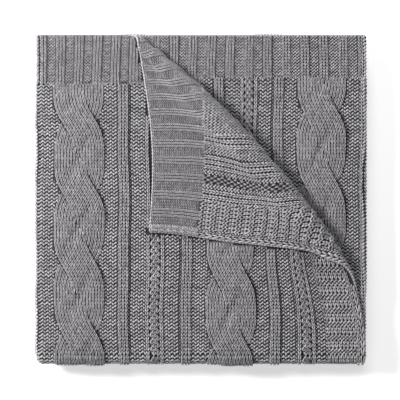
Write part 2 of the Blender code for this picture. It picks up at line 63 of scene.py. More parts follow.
# %% Sizes of the folded throw
THROW_WIDTH = 1296 * MM
CLOTH = 3.8 * MM
LAYER_STEP = 4.4 * MM
STRIP_GAP = 0.8 * MM
HALF_SIDE = 208 * MM
BASE_AT = CLOTH / 2
UNDER_AT = BASE_AT + LAYER_STEP
TOP_AT = UNDER_AT + LAYER_STEP
STRIP = TOP_AT + CLOTH / 2
STRIP_STEP = STRIP + STRIP_GAP
TO_CENTRE = (0.325 * MM, 1.153 * MM)

# %% The fold in thirds
LEFT_RADIUS = (TOP_AT - BASE_AT) / 2
RIGHT_RADIUS = (UNDER_AT - BASE_AT) / 2
LEFT_X = -HALF_SIDE + LEFT_RADIUS + CLOTH / 2
RIGHT_X = HALF_SIDE - RIGHT_RADIUS - CLOTH / 2
TOP_EDGE_X = 205.4 * MM
REPEAT = 192 * MM
FIRST_CABLE = 168 * MM
FIFTH_CABLE = FIRST_CABLE + 4 * REPEAT
FIFTH_CABLE_X = 151.2 * MM
UNDER_EASE = 0.945
U_TOP_END = TOP_EDGE_X - LEFT_X
U_BASE = U_TOP_END + math.pi * LEFT_RADIUS
U_UNDER = FIFTH_CABLE - (RIGHT_X - FIFTH_CABLE_X)
U_BASE_END = U_UNDER - math.pi * RIGHT_RADIUS
BASE_EASE = (RIGHT_X - LEFT_X) / (U_BASE_END - U_BASE)


def fold_across(u):
    """Where u lies in a strip: (x, height in the strip, right side's normal x, normal height)."""
    left = (u - U_TOP_END) / LEFT_RADIUS + math.pi / 2
    right = (u - U_BASE_END) / RIGHT_RADIUS - math.pi / 2
    regions = [u < U_TOP_END, u < U_BASE, u < U_BASE_END, u < U_UNDER, u < FIFTH_CABLE]
    one = np.ones_like(u)
    x = np.select(
        regions,
        [
            TOP_EDGE_X - u,
            LEFT_X + LEFT_RADIUS * np.cos(left),
            LEFT_X + (u - U_BASE) * BASE_EASE,
            RIGHT_X + RIGHT_RADIUS * np.cos(right),
            RIGHT_X - (u - U_UNDER),
        ],
        FIFTH_CABLE_X - (u - FIFTH_CABLE) * UNDER_EASE,
    )
    height = np.select(
        regions[:4],
        [
            TOP_AT * one,
            (TOP_AT + BASE_AT) / 2 + LEFT_RADIUS * np.sin(left),
            BASE_AT * one,
            (UNDER_AT + BASE_AT) / 2 + RIGHT_RADIUS * np.sin(right),
        ],
        UNDER_AT * one,
    )
    normal_x = np.select(regions[:4], [0 * one, np.cos(left), 0 * one, np.cos(right)], 0 * one)
    normal_h = np.select(regions[:4], [one, np.sin(left), -one, np.sin(right)], one)
    return x, height, normal_x, normal_h


print("width on the top layer, mm:", round(U_TOP_END / MM))
print("width on the layer under it, mm:", round((THROW_WIDTH - U_UNDER) / MM))

# %% The fold in quarters
FRONT_FOLD_Y = -HALF_SIDE + STRIP + STRIP_GAP / 2
LOWER_FRONT_Y = FRONT_FOLD_Y + 3 * MM
BACK_FOLD_Y = HALF_SIDE - STRIP - STRIP_GAP / 2
TOP_END_Y = HALF_SIDE
LAST_END_Y = HALF_SIDE - 5 * MM
FOLD_RADIUS = (STRIP + STRIP_GAP) / 2
FOLD_ARC = math.pi * FOLD_RADIUS
S_FRONT = TOP_END_Y - FRONT_FOLD_Y
S_SECOND = S_FRONT + FOLD_ARC
S_BACK = S_SECOND + BACK_FOLD_Y - FRONT_FOLD_Y
S_THIRD = S_BACK + FOLD_ARC
S_LOWER_FRONT = S_THIRD + BACK_FOLD_Y - LOWER_FRONT_Y
S_FOURTH = S_LOWER_FRONT + FOLD_ARC
THROW_LENGTH = S_FOURTH + LAST_END_Y - LOWER_FRONT_Y


def fold_along(s, height):
    """Where a point at this height in the strip lies: (y, z)."""
    regions = [s < start for start in (S_FRONT, S_SECOND, S_BACK, S_THIRD, S_LOWER_FRONT, S_FOURTH)]
    front, back, lower = ((s - start) / FOLD_RADIUS for start in (S_FRONT, S_BACK, S_LOWER_FRONT))
    inner = STRIP_GAP / 2
    out, turned = height + inner, STRIP - height + inner
    y = np.select(
        regions,
        [
            TOP_END_Y - s,
            FRONT_FOLD_Y - out * np.sin(front),
            FRONT_FOLD_Y + s - S_SECOND,
            BACK_FOLD_Y + turned * np.sin(back),
            BACK_FOLD_Y - (s - S_THIRD),
            LOWER_FRONT_Y - out * np.sin(lower),
        ],
        LOWER_FRONT_Y + s - S_FOURTH,
    )
    z = np.select(
        regions,
        [
            3 * STRIP_STEP + height,
            3 * STRIP_STEP - inner + out * np.cos(front),
            2 * STRIP_STEP + STRIP - height,
            2 * STRIP_STEP - inner + turned * np.cos(back),
            STRIP_STEP + height,
            STRIP_STEP - inner + out * np.cos(lower),
        ],
        STRIP - height,
    )
    return y, z


print("length of the throw, mm:", round(THROW_LENGTH / MM))
print("height of the stack, mm:", round(4 * STRIP_STEP / MM, 1))

# %% [markdown]
# ## The turned corner
#
# The top layer's corner is rolled over along a slanting line that bows out a little, as soft cloth does. In a
# frame that runs along that line, every section is the same curve: flat, then an arc that goes past the
# half turn, then a wider arc that settles the cloth back on the stack. Where the roll runs out at the right
# edge the real columns are drawn in a little, so u gets a small pull there. Bending by formula keeps the
# knit's columns running unbroken round the roll, which cloth simulation would only do with far more points.

# %% The roll of the turned corner
CORNER_START = (-79.4 * MM, 206 * MM)
CORNER_ANGLE = math.radians(-47.4)
CORNER_CHORD = 386 * MM
CORNER_BOW = 17.3 * MM
BOW_REACH = (-0.1, 1.15)
ROLL_RADIUS = 15 * MM
ROLL_OVERTURN = math.radians(50)
ROLL_LEAST = 0.32
ROLL_GROWS = (-10 * MM, 150 * MM)
ROLL_TIP = 0.6
ROLL_SHRINKS = (280 * MM, 400 * MM)
FLAP_REST = 6.6 * MM


def smooth(x, low, high):
    """0 below low, 1 above high, with a soft rise between."""
    t = np.clip((x - low) / (high - low), 0, 1)
    return t * t * (3 - 2 * t)


def bow(along):
    t = np.clip(along / CORNER_CHORD, *BOW_REACH)
    return 4 * CORNER_BOW * t * (1 - t)


def corner_frame(x, y):
    """(distance along the corner's fold line, distance beyond it)."""
    dx, dy = x - CORNER_START[0], y - CORNER_START[1]
    c, sn = math.cos(CORNER_ANGLE), math.sin(CORNER_ANGLE)
    along = dx * c + dy * sn
    return along, -dx * sn + dy * c - bow(along)


def corner_place(along, beyond):
    """The (x, y) that corner_frame gives back."""
    c, sn = math.cos(CORNER_ANGLE), math.sin(CORNER_ANGLE)
    across = beyond + bow(along)
    return CORNER_START[0] + along * c - across * sn, CORNER_START[1] + along * sn + across * c


def roll_sizes(along):
    """The roll tapers towards both its ends: (start, radius, arc, settling radius, settling arc)."""
    grow = ROLL_LEAST + (1 - ROLL_LEAST) * smooth(along, *ROLL_GROWS)
    radius = ROLL_RADIUS * grow * (1 - (1 - ROLL_TIP) * smooth(along, *ROLL_SHRINKS))
    settle = (radius * (1 + math.cos(ROLL_OVERTURN)) - FLAP_REST) / (1 - math.cos(ROLL_OVERTURN))
    return -(radius + CLOTH / 2), radius, radius * (math.pi + ROLL_OVERTURN), settle, settle * ROLL_OVERTURN


def roll_uses(along):
    """How much further the turned corner reaches than a sharp fold's would."""
    start, radius, arc, settle, settle_arc = roll_sizes(along)
    return arc + settle_arc + 2 * start - (radius + settle) * math.sin(ROLL_OVERTURN)


def roll_profile(along, beyond):
    """The section of the roll: (distance beyond the fold line, rise, tangent's angle)."""
    start, radius, arc, settle_radius, settle_arc = roll_sizes(along)
    s = beyond - start
    turn = np.clip(s, 0, arc) / radius
    settle = np.clip(s - arc, 0, settle_arc) / settle_radius
    rest = np.clip(s - arc - settle_arc, 0, None)
    most = math.pi + ROLL_OVERTURN
    settled = settle > 0
    out = radius * np.sin(turn) + settle_radius * (math.sin(most) - np.sin(most - settle)) * settled
    rise = radius * (1 - np.cos(turn)) + settle_radius * (np.cos(most - settle) - math.cos(most)) * settled
    return np.where(s < 0, beyond, start + out - rest), rise, turn - settle


# %% The pull where the roll runs out
PULL = ((0, 15), (39, 22), (72, 10.5), (115, 5), (165, 0))
PULL_STARTS = (100 * MM, 240 * MM)
PULL_ENDS = (270 * MM, 385 * MM)
WANDER = 0.8 * MM


def pull(u, s):
    """How far columns are drawn in where the roll runs out, with a slight wander everywhere."""
    at, size = np.array(PULL).T * MM
    drawn = np.interp(u, at, size) * smooth(s, *PULL_STARTS) * (1 - smooth(s, *PULL_ENDS))
    wander = np.sin(s / (37 * MM) + u / (59 * MM)) + 0.6 * np.sin(s / (17 * MM) - u / (41 * MM))
    return drawn + WANDER * wander


def lay(u, s, h):
    """The place of the point at u across and s down, h above the cloth's middle towards its right side."""
    x, height, normal_x, normal_h = fold_across(u + pull(u, s))
    along, beyond = corner_frame(x, TOP_END_Y - s)
    turned = (u < U_TOP_END) & (s < S_FRONT) & (beyond > roll_sizes(along)[0])
    y, z = fold_along(s, height + h * normal_h)
    flat = np.stack([x + h * normal_x, y, z], axis=-1)
    out, rise, angle = roll_profile(along, beyond)
    x, y = corner_place(along, out - h * np.sin(angle))
    over = np.stack([x, y, 3 * STRIP_STEP + TOP_AT + rise + h * np.cos(angle)], axis=-1)
    places = np.where(turned[..., None], over, flat)
    return places + np.array([*TO_CENTRE, 0.0])


print("roll of the corner, mm:", round(2 * ROLL_RADIUS / MM), "high")

# %% [markdown]
# ## Where the knit shows
#
# Layers that lie on each other press the relief flat, so the cables only stand up where nothing covers
# them. Three soft masks say where that is: what the turned corner covers, what lies beyond its fold line,
# and how far a fold has bent. The masks are the same for the ground cloth and for the stitches.

# %% Masks for what is covered
COVER_FADE = (-10 * MM, -2 * MM)
CREST_FADE = (-8 * MM, 5 * MM)
ROLL_FADE = 20 * MM
RIGHT_FOLD_FADE = 6 * MM
UNDER_FLAP_SHARE = 0.24
FOLD_SHARE = 0.4
# shares of a fold's bend
BEND_STARTS = (-0.4, 0.4)
BEND_OPENS = (0.1, 0.4)
BEND_CLOSES = (0.6, 0.9)
# how far the side fold's normal points up
SIDE_OPENS = (-0.2, 0.6)


def under_flap(x, y):
    """1 where the turned corner lies on the top layer, 0 where the layer shows."""
    along, beyond = corner_frame(x, y)
    flat_x, flat_y = corner_place(along, roll_uses(along) - beyond)
    inside = np.minimum(TOP_EDGE_X - flat_x - pull(0, TOP_END_Y - flat_y), TOP_END_Y - flat_y)
    return smooth(inside, *COVER_FADE)


def outside(s, fold_start):
    """The share of the relief on the outside of a fold along."""
    bend = (s - fold_start) / FOLD_ARC
    return FOLD_SHARE * smooth(bend, *BEND_OPENS) * (1 - smooth(bend, *BEND_CLOSES))


def shown(u, s):
    """The share of the relief that stands up on the right side."""
    x, _, _, normal_h = fold_across(u + pull(u, s))
    along, beyond = corner_frame(x, TOP_END_Y - s)
    start = roll_sizes(along)[0]
    bend = (s - S_FRONT) / FOLD_ARC
    on_top = (1 - (1 - FOLD_SHARE) * smooth(bend, *BEND_STARTS)) * (1 - smooth(bend, *BEND_CLOSES))
    on_top = on_top * (1 - (1 - UNDER_FLAP_SHARE) * under_flap(x, TOP_END_Y - s))
    on_top = on_top * (1 - smooth(beyond, start, start + ROLL_FADE) * (s < S_FRONT))
    bared = smooth(beyond, *CREST_FADE) * (s < S_FRONT)
    return np.select(
        [u < U_TOP_END, u < U_BASE, u < U_BASE_END, u < U_UNDER],
        [
            np.maximum(on_top, outside(s, S_LOWER_FRONT)),
            smooth(normal_h, *SIDE_OPENS) * (s < S_FRONT),
            outside(s, S_BACK),
            bared * smooth(u, U_UNDER - RIGHT_FOLD_FADE, U_UNDER),
        ],
        bared,
    )


# %% [markdown]
# ## The pattern's relief
#
# A cable is two strands of ten wales that wind round each other: every twenty rows one passes over the
# other. Seen along the cable each strand swings from side to side like a cosine, and it lies high exactly
# when it crosses the middle one way. That gives both strands' places and heights from one angle. We could
# sculpt one cable and copy it, but a formula can be asked at any point, by the cloth and by each stitch.

# %% Cables, ribs, moss ribs, welts and the end band
CABLES = 6
CROSSING_STEP = 89 * MM
CROSSING_ROWS = 20
CROSSINGS = np.array([126, 109, 109, 109, 98, 98]) * MM
STRAND_SWING = 12.5 * MM
STEEPER = 0.5
STRAND_HALF = 18.8 * MM
SLANT_WIDENS = 0.14
STRAND_DOME = 4.2 * MM
STRAND_LIFT = 4.6 * MM
LIFT_FADE = 1 * MM
BEHIND = 0.45
VALLEY_DEPTH = 4 * MM
VALLEY_HALF = 6 * MM
VALLEY_SWING = 15 * MM
CABLE_START = 0.3
CABLE_RISE = 24 * MM
RIB_FROM_CABLE = 57 * MM
RIB_HALF = 7 * MM
RIB_HEIGHT = 1.8 * MM
RIB_CROWN = 1.3 * MM
BAND_CROWN = 0.5 * MM
MOSS_HALF = 12 * MM
MOSS_HEIGHT = 1.4 * MM
SELVEDGE = 9 * MM
SELVEDGE_HEIGHT = 1.35 * MM
BORDER = 44 * MM
WELT_STEP = 17.4 * MM
WELT_HEIGHT = 0.9 * MM
BAND_RIB_HALF = 5.7 * MM
BAND_HEIGHT = 1.6 * MM
BACK_HEIGHT = 1.26 * MM
BACK_WELT = 3 * MM
BACK_WELT_FADE = 2 * MM
EDGE_SLOPE = 2.2 * MM
BANDS = {
    # layer: (a rib's u, pitch, length of the band)
    "top": (360 * MM, 23.1 * MM, 61.5 * MM),
    "under": (932.9 * MM, 24.9 * MM, 53 * MM),
}
LAYER_CHANGE = (U_BASE + U_BASE_END) / 2


def plateau(distance, half):
    """1 within half of a line and 0 beyond it, with sloping sides."""
    return 1 - smooth(np.abs(distance), half - EDGE_SLOPE / 2, half + EDGE_SLOPE / 2)


def ridge(distance, half, height, crown):
    """A raised rib: sloping sides and a rounded top."""
    return height * plateau(distance, half) + crown * np.clip(1 - (distance / half) ** 2, 0, 1)


def nearest(u, first, step):
    """Distance of u from the nearest of a row of evenly spaced lines."""
    return (u - first + step / 2) % step - step / 2


def strand(which, cable, s):
    """A cable strand's swing from the cable's middle, its half width, its lift and its dome."""
    turn = math.pi * ((s - CROSSINGS[cable]) / CROSSING_STEP + 0.5 + which)
    front = (1 + np.sin(turn)) / 2
    swing = (1 - STEEPER) * np.cos(turn) + STEEPER * np.sin(math.pi / 2 * np.cos(turn))
    half = STRAND_HALF * (1 + SLANT_WIDENS * np.sin(turn) ** 2)
    return STRAND_SWING * swing, half, STRAND_LIFT * front, STRAND_DOME * (BEHIND + (1 - BEHIND) * front)


def strand_height(which, cable, across, s):
    """A strand's surface above the ground, 0 outside it."""
    swing, half, lift, high = strand(which, cable, s)
    dome = high * np.sqrt(np.clip(1 - ((across - swing) / half) ** 2, 0, 1))
    return np.where(dome > 0, dome + lift * smooth(dome, 0, LIFT_FADE), 0)


def cable_rise(u, s):
    """The cables grow out of the end band's ribs over their first rows."""
    from_band = np.minimum(s, THROW_LENGTH - s) - band_lines(u)[1]
    return CABLE_START + (1 - CABLE_START) * smooth(from_band, 0, CABLE_RISE)


def valley(cable, across, s):
    """How far a cable sinks where its two strands meet, on a line that swings from notch to notch."""
    eye = math.pi * ((s - CROSSINGS[cable]) / CROSSING_STEP % 1)
    between = (across + VALLEY_SWING * np.cos(eye)) / VALLEY_HALF
    return VALLEY_DEPTH * np.sin(eye) * np.exp(-(between**2))


def band_lines(u):
    """(distance of u from the nearest rib of the end band, the band's length there)."""
    top, under = ((nearest(u, first, pitch), length) for first, pitch, length in BANDS.values())
    below = u > LAYER_CHANGE
    return np.where(below, under[0], top[0]), np.where(below, under[1], top[1])


def welt_wave(s):
    """1 in the middle of a welt, -1 midway between two."""
    return np.cos(2 * math.pi * s / WELT_STEP)


def relief(u, s):
    """Height of the right side above its ground."""
    from_cable = nearest(u, FIRST_CABLE, REPEAT)
    side = np.minimum(u, THROW_WIDTH - u)
    end = np.minimum(s, THROW_LENGTH - s)
    cable = np.clip(np.rint((u - FIRST_CABLE) / REPEAT).astype(int), 0, CABLES - 1)
    height = np.maximum(strand_height(0, cable, from_cable, s), strand_height(1, cable, from_cable, s))
    height = np.maximum(0, height - valley(cable, from_cable, s)) * cable_rise(u, s)
    height += ridge(np.abs(from_cable) - RIB_FROM_CABLE, RIB_HALF, RIB_HEIGHT, RIB_CROWN)
    height += MOSS_HEIGHT * plateau(np.abs(from_cable) - REPEAT / 2, MOSS_HALF)
    height = np.where(side < BORDER, WELT_HEIGHT * (1 + welt_wave(s)) / 2, height)
    height = np.where(side < SELVEDGE, SELVEDGE_HEIGHT, height)
    from_rib, length = band_lines(u)
    return np.where(end < length, ridge(from_rib, BAND_RIB_HALF, BAND_HEIGHT, BAND_CROWN), height)


def back_relief(u, s):
    """Height of the wrong side, where the ribs are hollow and the purl panels stand up."""
    from_cable = nearest(u, FIRST_CABLE, REPEAT)
    ribs = plateau(np.abs(from_cable) - RIB_FROM_CABLE, RIB_HALF)
    body = BACK_HEIGHT * (1 - ribs)
    welts = BACK_WELT * (1 - welt_wave(s)) / 2
    welts = welts * smooth(u, SELVEDGE - BACK_WELT_FADE, SELVEDGE + BACK_WELT_FADE)
    body = np.where(u < BORDER, welts, body)
    from_rib, length = band_lines(u)
    return np.where(s < length, BAND_HEIGHT * (1 - plateau(from_rib, BAND_RIB_HALF)), body)


# %% [markdown]
# ## The ground cloth
#
# Between and behind the stitches there is more yarn, which the eye reads as cloth. We lay a thin sheet there:
# a grid on the flat throw, close where it bends or rises and wide where it lies hidden, once for the right
# side and once for the wrong side, joined round the edge. Writing the arrays straight into the mesh keeps
# this fast, because Python never loops over the points.

# %% A mesh from arrays
GROUND_HALF = 1.0 * MM
BARED_WIDTH = 290 * MM


def make_mesh(name, points, quads, caps=(), uv=None):
    """A smooth-shaded object from its points, its four-sided faces and its end caps."""
    mesh = bpy.data.meshes.new(name)
    groups = [np.asarray(group) for group in (quads, *caps) if len(group)]
    corners = np.concatenate([group.ravel() for group in groups])
    sizes = np.concatenate([np.full(len(group), group.shape[1]) for group in groups])
    starts = np.concatenate([[0], np.cumsum(sizes)[:-1]])
    mesh.vertices.add(len(points))
    mesh.vertices.foreach_set("co", points.astype(np.float32).ravel())
    mesh.loops.add(len(corners))
    mesh.loops.foreach_set("vertex_index", corners.astype(np.int32))
    mesh.polygons.add(len(sizes))
    mesh.polygons.foreach_set("loop_start", starts.astype(np.int32))
    mesh.update(calc_edges=True)
    if uv is not None:
        layer = mesh.uv_layers.new(name="yarn")
        layer.uv.foreach_set("vector", uv[corners].astype(np.float32).ravel())
    mesh.shade_smooth()
    piece = bpy.data.objects.new(name, mesh)
    bpy.context.scene.collection.objects.link(piece)
    print(name, "has", sum(sizes - 2), "triangles")
    return piece


# %% The ground cloth's grid
def spread(*stops):
    """Lines across a sheet: each stop is (where it ends, spacing up to there), from 0."""
    lines = [np.zeros(1)]
    for end, step in stops:
        start = lines[-1][-1]
        lines.append(np.linspace(start, end, max(1, round((end - start) / step)) + 1)[1:])
    return np.concatenate(lines)


def ground_cloth():
    # close across the side folds, wide where other layers hide the cloth
    us = spread(
        (U_TOP_END, 4.6 * MM),
        (U_BASE, 1.8 * MM),
        (U_BASE_END, 26 * MM),
        (U_UNDER, 1.4 * MM),
        (U_UNDER + BARED_WIDTH, 4.6 * MM),
        (THROW_WIDTH, 22 * MM),
    )
    ss = spread(
        (S_FRONT, 6.2 * MM),
        (S_SECOND, 3.4 * MM),
        (S_BACK, 60 * MM),
        (S_THIRD, 3.4 * MM),
        (S_LOWER_FRONT, 60 * MM),
        (S_FOURTH, 3.4 * MM),
        (THROW_LENGTH, 60 * MM),
    )
    u, s = np.meshgrid(us, ss, indexing="ij")
    along, beyond = corner_frame(fold_across(u + pull(u, s))[0], TOP_END_Y - s)
    turned = (u < U_TOP_END) & (s < S_FRONT) & (beyond > roll_sizes(along)[0])
    right = lay(u, s, GROUND_HALF + relief(u, s) * shown(u, s))
    raised = np.where(turned, back_relief(u, s) * smooth(beyond, *CREST_FADE), 0)
    wrong = lay(u, s, -GROUND_HALF - raised)
    points = np.concatenate([right.reshape(-1, 3), wrong.reshape(-1, 3)])
    flat = np.stack([u.ravel(), s.ravel()], axis=-1)

    index = np.arange(u.size).reshape(u.shape)
    face = np.stack([index[:-1, :-1], index[1:, :-1], index[1:, 1:], index[:-1, 1:]], axis=-1).reshape(-1, 4)
    quads = [face, face[:, ::-1] + u.size]
    for edge in (index[0, ::-1], index[-1], index[:, 0], index[::-1, -1]):
        quads.append(np.stack([edge[1:], edge[:-1], edge[:-1] + u.size, edge[1:] + u.size], axis=-1))
    return make_mesh("ground_cloth", points, np.concatenate(quads), uv=np.concatenate([flat, flat]))


ground = ground_cloth()

# %% [markdown]
# ## Yarn
#
# A length of yarn is a tube that follows a path. We sweep thousands at once: the paths are one array of
# (stitch, point along it, coordinate) in the flat throw's own u, s and h, so rings of points go round every
# path in the flat, and lay folds them all in one call. A tube of five sides with smooth shading looks round
# at the size of a stitch.

# %% Sweep many short yarns at once
SIDES = 5


def sweep(paths, wide, high, side=1, sides=SIDES):
    """Closed tubes along paths (N, P, 3), wide and high at each point: (points, quads, caps, uv)."""
    tangent = np.gradient(paths[:, :, :2], axis=1)
    tangent /= np.linalg.norm(tangent, axis=-1, keepdims=True) + 1e-12
    across = np.stack([-tangent[..., 1], tangent[..., 0]], axis=-1)
    theta = 2 * math.pi * (np.arange(sides) / sides - 0.25)
    wide = np.broadcast_to(wide, paths.shape[:2])[..., None]
    high = np.broadcast_to(high, paths.shape[:2])[..., None]
    u = paths[..., 0, None] + across[..., 0, None] * wide * np.cos(theta)
    s = paths[..., 1, None] + across[..., 1, None] * wide * np.cos(theta)
    h = paths[..., 2, None] + high * np.sin(theta)
    points = lay(u, s, side * h).reshape(-1, 3)

    count, along = paths.shape[:2]
    index = np.arange(points.shape[0]).reshape(count, along, sides)
    nxt = np.roll(index, -1, axis=2)
    quads = np.stack([index[:, :-1], nxt[:, :-1], nxt[:, 1:], index[:, 1:]], axis=-1).reshape(-1, 4)
    caps = np.concatenate([index[:, 0, ::-1], index[:, -1]])
    if side < 0:
        quads, caps = quads[:, ::-1], caps[:, ::-1]
    run = np.linspace(0, 1, along)[None, :, None] + np.arange(count)[:, None, None]
    uv = np.stack(np.broadcast_arrays(run, np.arange(sides) / sides), axis=-1).reshape(-1, 2)
    return points, quads, caps, uv


def join(name, sweeps):
    """One object from several sweeps."""
    offset, points, quads, caps, uv = 0, [], [], [], []
    for found in sweeps:
        if not len(found[0]):
            continue
        points.append(found[0])
        quads.append(found[1] + offset)
        caps.append(found[2] + offset)
        uv.append(found[3])
        offset += len(found[0])
    return make_mesh(name, np.concatenate(points), np.concatenate(quads), caps, np.concatenate(uv))


# %% [markdown]
# ## Two stitches
#
# Seen from its right side, a knit stitch is a V of two legs, and each leg dives under the stitch above. Seen
# from the wrong side the same stitch is a purl: the yarn runs sideways in a wave whose crests lie on top and
# whose slopes dip between the legs. Everything else here is made of these two, so each is one function that
# takes arrays of places and gives back yarn. Copies of one modelled stitch would be simpler, but they could
# not follow the folds. A little seeded unevenness keeps the stitches from looking cast.

# %% Knit and purl
ROW = CROSSING_STEP / CROSSING_ROWS
BAND_ROW = 3.9 * MM
YARN_AT = 2.2 * MM
YARN_LIFT = 1.6 * MM
YARN_HALF = 0.85 * MM
LUCK = np.random.default_rng(5402)


def uneven(count, share):
    """A size near 1 for each of so many stitches."""
    return 1 + LUCK.uniform(-share, share, (count, 1))


def stand(*values):
    """Each value as a column with one row for each stitch."""
    return (np.asarray(a, float)[:, None] for a in np.broadcast_arrays(*values))


def leg_rise(t):
    """The height of a knit leg along its length: it comes up, and dives at its end."""
    return YARN_LIFT * (np.sin(math.pi * (0.1 + 0.85 * t)) - 0.6)


def knit(u, s, h, width, row=ROW, side=1, points=4, sides=SIDES, thick=1):
    """Each knit stitch's two legs: together at the crotch, apart at the top, with a hole between that is dark
    from real shade and from the ground cloth's painted shade.
    """
    t = np.linspace(0, 1, points)
    found = []
    u, s, h, width, thick = stand(u, s, h, width, thick)
    for way in (-1, 1):
        size = uneven(len(u), 0.1)
        du = way * width * (0.06 + 0.27 * t) * size
        ds = row * (0.5 - 1.05 * t) + row * LUCK.uniform(-0.06, 0.06, u.shape)
        dh = leg_rise(t) + LUCK.uniform(-0.12, 0.12, u.shape) * MM
        path = np.stack([u + du, s + ds, h + dh], axis=-1)
        girth = 0.65 + 0.35 * np.sin(math.pi * (0.1 + 0.8 * t))
        found.append(sweep(path, 0.155 * thick * width * girth * size, YARN_HALF * girth, side, sides))
    return found


def purl(u, s, h, width, row=ROW, side=1, points=7, sides=SIDES, depth=1, thick=1):
    """The wave of yarn that each purl stitch shows: depth is how far its slopes dip."""
    t = np.linspace(-0.5, 0.5, points)
    u, s, h, width, depth, thick = stand(u, s, h, width, depth, thick)
    size = uneven(len(u), 0.06)
    ds = -row * 0.27 * np.cos(2 * math.pi * t) * size + row * LUCK.uniform(-0.08, 0.08, u.shape)
    dh = YARN_LIFT * depth * (0.8 * np.cos(4 * math.pi * t) - 0.5) + LUCK.uniform(-0.2, 0.2, u.shape) * MM
    path = np.stack([u + width * t * 1.06, s + ds, h + dh], axis=-1)
    girth = thick * (0.28 + 0.11 * np.cos(4 * math.pi * t))
    return [sweep(path, row * girth * size, YARN_HALF * size, side, sides)]


# %% [markdown]
# ## The chart
#
# A knitter works from a chart: columns are wales, rows are courses, and each square says knit or purl. Ours
# is a short table for half a repeat, mirrored about every cable. From it come the columns of the whole
# width, and a rule says what each kind of column does on each row. The wrong side is the same chart with
# knit and purl exchanged. In a moss rib knit and purl take turns, and the knit squares sink between the purl
# knots, so they are left out there and the ground cloth shows, whose painted shade makes the dark holes of
# the real rib. Placing each stitch by hand would take weeks, and the chart can be read against the photograph
# column by column.

# %% Columns across the throw
PURL, KNIT, MOSS, WELT, NOTCH = range(5)
NOTCH_CLEAR = 0.6 * MM
HALF_REPEAT = (
    # (first wale from the cable's middle in mm, wales, width in mm, kind)
    (21.4, 2, 6.4, NOTCH),
    (34.2, 3, 6.4, PURL),
    (52.2, 3, 4.3, KNIT),
    (67.2, 3, 6.6, PURL),
    (87.0, 1, 5.4, KNIT),
    (91.9, 2, 2.8, MOSS),
)
BORDER_WALES = 8
BORDER_OVERLAP = 2.4 * MM
BORDER_CLEAR = 1 * MM
BAND_WALE = 3.85 * MM
BAND_RIBS = range(-60, 60)
BAND_CLEAR = 1 * MM
WELT_ROWS = 4
WELT_ROW = WELT_STEP / WELT_ROWS


def body_columns():
    """(u, width, kind) of every wale below the end band but the cables' and the borders' own."""
    found = []
    for cable in range(-1, CABLES + 1):
        for first, wales, width, kind in HALF_REPEAT:
            for wale in range(wales):
                for way in (-1, 1):
                    u = FIRST_CABLE + cable * REPEAT + way * (first + wale * width) * MM
                    if BORDER + BORDER_CLEAR < u < THROW_WIDTH - BORDER - BORDER_CLEAR:
                        found.append((u, width * MM, kind))
    return np.array(sorted(found)).T


def border_columns():
    """(u, width, kind) of the welted borders' wales."""
    width = (BORDER + BORDER_OVERLAP - SELVEDGE) / BORDER_WALES
    left = [SELVEDGE + (wale + 0.5) * width for wale in range(BORDER_WALES)]
    return np.array([(u, width, WELT) for u in left + [THROW_WIDTH - u for u in left]]).T


def band_columns():
    """(u, width, kind) of every wale in the end band: three knit, three purl."""
    found = []
    for layer, (first, pitch, _) in BANDS.items():
        valley = (pitch / 2 - BAND_RIB_HALF) * 2 / 3
        for rib in BAND_RIBS:
            middle = first + rib * pitch
            for wale in (-1, 0, 1):
                found.append((middle + wale * BAND_WALE, BAND_WALE, KNIT, layer))
                found.append((middle + pitch / 2 + wale * valley, valley, PURL, layer))
    reach = {"top": (BAND_CLEAR, LAYER_CHANGE), "under": (LAYER_CHANGE, THROW_WIDTH - BAND_CLEAR)}
    kept = (wale[:3] for wale in found if reach[wale[3]][0] < wale[0] < reach[wale[3]][1])
    return np.array(sorted(kept)).T


body = body_columns()
border = border_columns()
band = band_columns()
print("wales beside the cables:", body.shape[1] + border.shape[1], "in the band:", band.shape[1])


# %% Squares of the chart
PAST_ROLL = 6 * MM
COVERED = 0.98
BARED_EDGE = 30 * MM
BARED_FROM = -17 * MM
CORNER_CLEAR = 2 * MM


def squares(columns, first_row, last_row, row, seen):
    """The squares where seen(u, s) holds: (u, s, width, knit?, kind)."""
    rows = np.arange(first_row, last_row, row)
    grid = np.meshgrid(np.arange(columns.shape[1]), np.arange(len(rows)), indexing="ij")
    column, course = (a.ravel() for a in grid)
    u, width, kind = columns[:, column]
    s = rows[course]
    is_knit = np.where(kind == MOSS, (column + course) % 2 == 0, kind == KNIT)
    is_knit = np.where(kind == WELT, welt_wave(s) < 0, is_knit)
    sunk = (kind == MOSS) & is_knit
    keep = seen(u, s) & ~sunk & ((kind != NOTCH) | (relief(u, s) < NOTCH_CLEAR))
    return u[keep], s[keep], width[keep], is_knit[keep], kind[keep]


def top_seen(u, s):
    """True on the top layer where the turned corner neither starts nor lies."""
    x, y = TOP_EDGE_X - u - pull(u, s), TOP_END_Y - s
    along, beyond = corner_frame(x, y)
    return (u < U_TOP_END) & (beyond < roll_sizes(along)[0] + PAST_ROLL) & (under_flap(x, y) < COVERED)


def under_seen(u, s):
    """True on the layer below where the turned corner bares it, and along its edge."""
    x = fold_across(u)[0]
    past_edge = x > TOP_EDGE_X - BARED_EDGE
    return (u > U_UNDER) & ((corner_frame(x, TOP_END_Y - s)[1] > BARED_FROM) | past_edge)


def corner_seen(u, s):
    """True on the turned corner, whose wrong side shows."""
    along, beyond = corner_frame(TOP_EDGE_X - u - pull(u, s), TOP_END_Y - s)
    return (u < U_TOP_END) & (beyond > roll_sizes(along)[0] + CORNER_CLEAR)


# %% Knit the squares
BAND_START = 2 * MM
BAND_DEPTH = 0.9
BAND_THICK = 1.05
MOSS_THICK = 1.7
WELT_LEG_THICK = 1.3
FOLD_FLATTENS = 0.75
FLATTENED_BY = 0.3


